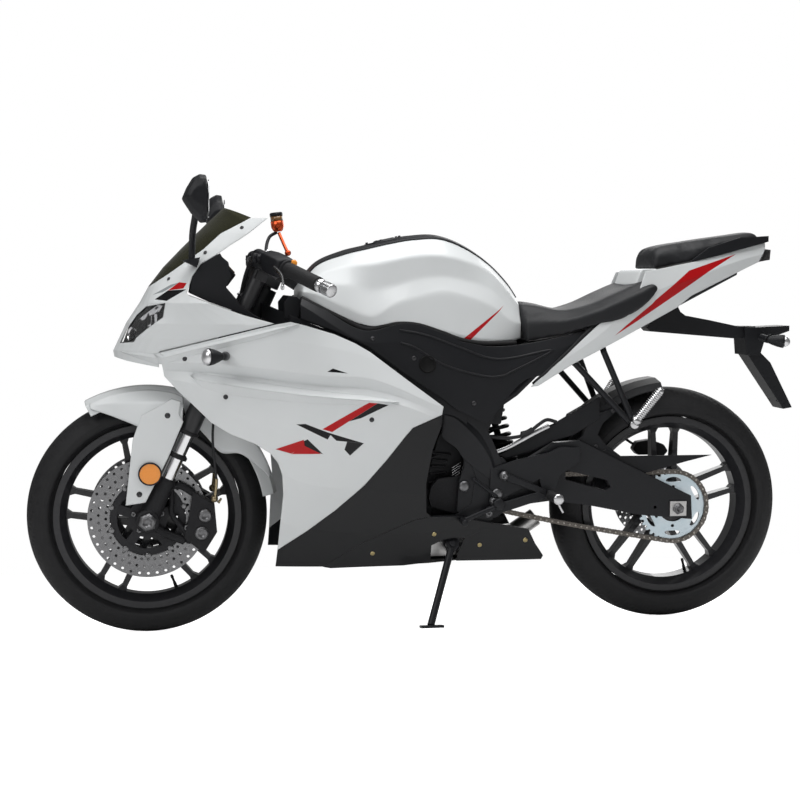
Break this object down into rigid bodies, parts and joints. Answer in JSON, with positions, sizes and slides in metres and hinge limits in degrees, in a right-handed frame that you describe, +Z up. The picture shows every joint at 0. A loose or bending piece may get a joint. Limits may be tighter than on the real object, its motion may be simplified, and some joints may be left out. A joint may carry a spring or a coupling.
{
  "type": "sport bike (motorcycle)",
  "caption": "Full-fairing sport motorcycle leaning on its side stand, with turning wheels, steering and folding stand",
  "frame": {"origin": "on the ground under the middle of the leaning bike's bounding box", "axes": "+X forward along the bike, +Y to its left (the side stand's side), +Z up; the bike leans 10.5 degrees towards +Y"},
  "size_m": [1.9943, 0.7404, 1.1636],
  "materials": {
    "tyre": "matt",
    "black_wheel": "satin",
    "steel": "brushed",
    "zinc": "zinc plated",
    "chain": "oiled",
    "chrome": "polished",
    "black_metal": "satin",
    "white_paint": "gloss",
    "white_plastic": "gloss",
    "black_plastic": "satin",
    "gloss_black": "gloss",
    "screen": "smoked clear",
    "lens": "clear",
    "seat_cover": "grained vinyl",
    "rubber": "matt",
    "orange": "reflector"
  },
  "bodies": {
    "chassis": {"belly_pan": "gloss_black", "chain": "chain", "cockpit": "black_plastic", "engine": "black_metal", "exhaust": "steel", "frame": "black_metal", "grab_rail": "black_plastic", "headlamps": "lens", "hugger": "black_plastic", "lower_cowl_left": "gloss_black", "lower_cowl_right": "gloss_black", "mirrors": "gloss_black", "passenger_pegs": "black_metal", "pillion_seat": "seat_cover", "plate_holder": "black_plastic", "rear_axle": "steel", "rear_caliper": "black_metal", "rearsets": "black_metal", "rider_seat": "seat_cover", "shock": "black_metal", "side_covers": "black_plastic", "side_fairing_left": "white_plastic", "side_fairing_right": "white_plastic", "signals": "lens", "subframe": "black_metal", "swingarm": "black_metal", "tail_cowl": "white_plastic", "tail_lamp": "lens", "tank": "white_paint", "upper_cowl": "white_plastic", "windscreen": "screen"},
    "steering": {"fork_upper": "chrome", "fork_lower": "black_metal", "front_axle": "steel", "front_calipers": "black_metal", "handlebars": "black_metal", "controls": "black_plastic", "front_fender": "white_plastic", "fork_reflectors": "orange", "brake_hoses": "rubber"},
    "front_wheel": {"front_tyre": "tyre", "front_rim": "black_wheel", "front_discs": "steel"},
    "rear_wheel": {"rear_tyre": "tyre", "rear_rim": "black_wheel", "rear_sprocket": "zinc", "rear_disc": "steel"},
    "stand": {"side_stand": "black_metal"}
  },
  "joints": [
    {"name": "steering_hinge", "type": "hinge", "parent": "chassis", "child": "steering", "pos_m": [0.66973, -0.12748, 0.28123], "axis": [-0.4147, 0.1658, 0.8947], "range_deg": [-28, 28]},
    {"name": "front_wheel_spin", "type": "hinge", "parent": "steering", "child": "front_wheel", "pos_m": [0.69885, -0.12506, 0.29428], "axis": [0, 0.9833, -0.1822], "continuous": true},
    {"name": "rear_wheel_spin", "type": "hinge", "parent": "chassis", "child": "rear_wheel", "pos_m": [-0.65115, -0.12345, 0.30298], "axis": [0, 0.9833, -0.1822], "continuous": true},
    {"name": "stand_hinge", "type": "hinge", "parent": "chassis", "child": "stand", "pos_m": [-0.05315, 0.01017, 0.20078], "axis": [0, 0.9426, 0.3338], "range_deg": [0, 96]}
  ]
}
